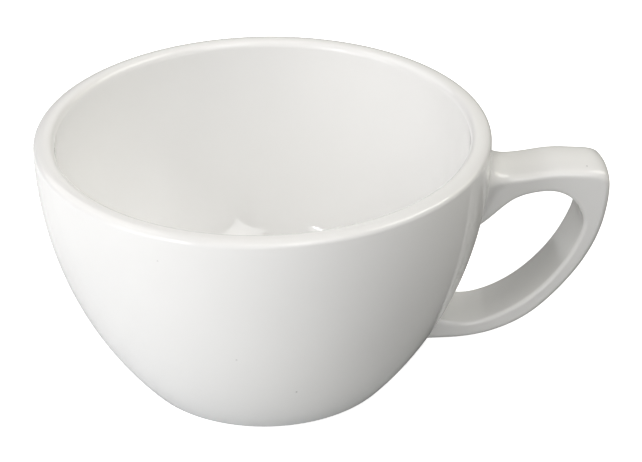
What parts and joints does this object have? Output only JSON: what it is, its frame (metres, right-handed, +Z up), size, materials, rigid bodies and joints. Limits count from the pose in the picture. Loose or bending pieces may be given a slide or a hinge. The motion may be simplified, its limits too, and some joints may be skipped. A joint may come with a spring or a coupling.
{
  "type": "cappuccino cup",
  "caption": "White glazed porcelain cappuccino cup: a round curved bowl with a thick rounded lip, a foot ring set back under the heel and a strap ear handle with a finger gap.",
  "frame": {"origin": "on the axis of the bowl, in the plane that the foot ring stands on", "axes": "+Z up along the axis of the bowl, +X from the axis towards the handle, which lies in the plane Y = 0"},
  "size_m": [0.127, 0.1, 0.06],
  "materials": {
    "porcelain": "fired unglazed porcelain body, smooth and matte",
    "slip": "fired luting slip under glaze",
    "glaze": "clear gloss glaze over white porcelain"
  },
  "bodies": {
    "root": {"bowl": "porcelain", "handle": "porcelain", "upper_handle_joint": "slip", "lower_handle_joint": "slip", "inside_glaze": "glaze", "outside_glaze": "glaze", "handle_glaze": "glaze", "underside_glaze": "glaze"}
  },
  "joints": []
}
